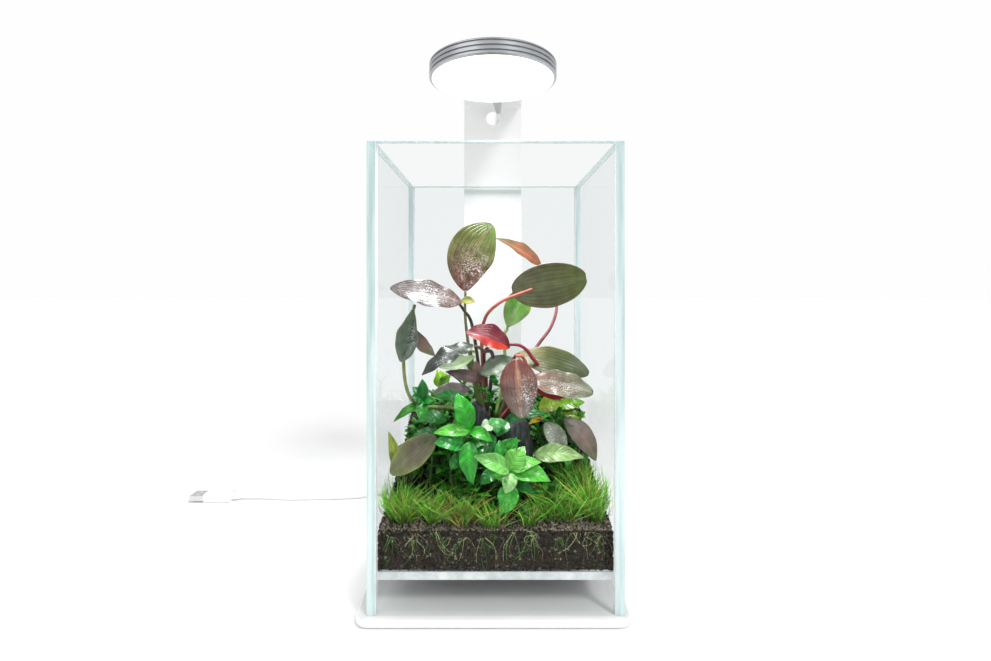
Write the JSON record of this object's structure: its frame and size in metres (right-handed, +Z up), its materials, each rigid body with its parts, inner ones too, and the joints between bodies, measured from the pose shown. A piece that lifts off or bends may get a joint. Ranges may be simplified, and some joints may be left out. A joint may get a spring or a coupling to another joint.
{
  "type": "aquarium on stand",
  "caption": "Tall open glass planted tank on a flat white steel base whose rear post bends over it and holds a round lamp; its lead runs down the post to a switch and plug.",
  "frame": {"origin": "on the table, midway between the base's front edge and the clips behind the post, and midway across the base", "axes": "+Z up, +Y to the back where the post stands, +X to the right seen from the front"},
  "size_m": [0.3525, 0.2208, 0.3559],
  "materials": {
    "white_steel": "satin powder coat",
    "foot_rubber": "matt",
    "screw_steel": "zinc plated",
    "clear_glass": "polished, ground edges",
    "clear_silicone": "clear, soft",
    "dark_soil": "granular",
    "slate": "cleft",
    "grass_leaf": "living leaves",
    "green_leaf": "living leaves",
    "broad_leaf": "living leaves, brown and olive",
    "lamp_aluminium": "satin turned",
    "opal_diffuser": "opal, lit",
    "seal_foam": "matt",
    "board_aluminium": "white solder mask",
    "led_package": "encapsulated",
    "driver_package": "matt",
    "magnet_nickel": "nickel plated",
    "relief_plastic": "translucent grey",
    "cord_white": "satin",
    "wire_core": "glossy",
    "clip_plastic": "glossy",
    "clip_adhesive": "matt foam",
    "switch_white": "fine satin",
    "button_grey": "satin",
    "switch_board_green": "satin",
    "plug_white": "satin",
    "plug_steel": "plated",
    "plug_insulator": "satin",
    "tie_white": "matt"
  },
  "bodies": {
    "stand": {"base_plate": "white_steel", "base_feet": "foot_rubber", "post": "white_steel", "flange_screws": "screw_steel", "lamp_lead": "cord_white", "cable_clips": "clip_plastic", "clip_pads": "clip_adhesive", "cord_to_switch": "cord_white", "cord_to_coil": "cord_white", "cord_to_plug": "cord_white", "cord_coil": "cord_white", "coil_tie": "tie_white", "switch_lower_shell": "switch_white", "switch_upper_shell": "switch_white", "switch_board": "switch_board_green", "plug_grip": "plug_white", "plug_contact_shell": "plug_steel", "plug_tongue": "plug_insulator"},
    "tank": {"left_pane": "clear_glass", "right_pane": "clear_glass", "front_pane": "clear_glass", "back_pane": "clear_glass", "floor_pane": "clear_glass", "corner_seams": "clear_silicone", "floor_seam": "clear_silicone", "soil": "dark_soil", "slate_stone_right": "slate", "slate_stone_left": "slate", "grass_left": "grass_leaf", "grass_middle": "grass_leaf", "grass_right": "grass_leaf", "green_plant_front": "green_leaf", "green_plant_left": "green_leaf", "green_plant_right": "green_leaf", "broad_leaf_plant": "broad_leaf"},
    "lamp": {"lamp_housing": "lamp_aluminium", "diffuser": "opal_diffuser", "diffuser_seal": "seal_foam", "led_board": "board_aluminium", "led_chips": "led_package", "driver_parts": "driver_package", "magnet_holder": "lamp_aluminium", "disc_magnet": "magnet_nickel", "holder_screws": "screw_steel", "strain_relief": "relief_plastic", "lamp_wires": "wire_core"},
    "button": {"switch_button": "button_grey"}
  },
  "joints": [
    {"name": "tank_slide", "type": "slide", "parent": "stand", "child": "tank", "axis": [0, -1, 0], "range_m": [0, 0.165]},
    {"name": "lamp_swivel", "type": "hinge", "parent": "stand", "child": "lamp", "pos_m": [0, -0.0237, 0.3539], "axis": [0, 0, 1], "range_deg": [-10, 10], "deforming": ["lamp_lead"]},
    {"name": "button_press", "type": "slide", "parent": "stand", "child": "button", "axis": [0, 0, -1], "range_m": [0, 0.0008], "stiffness_N_per_m": 500, "springref_m": -0.0002}
  ]
}
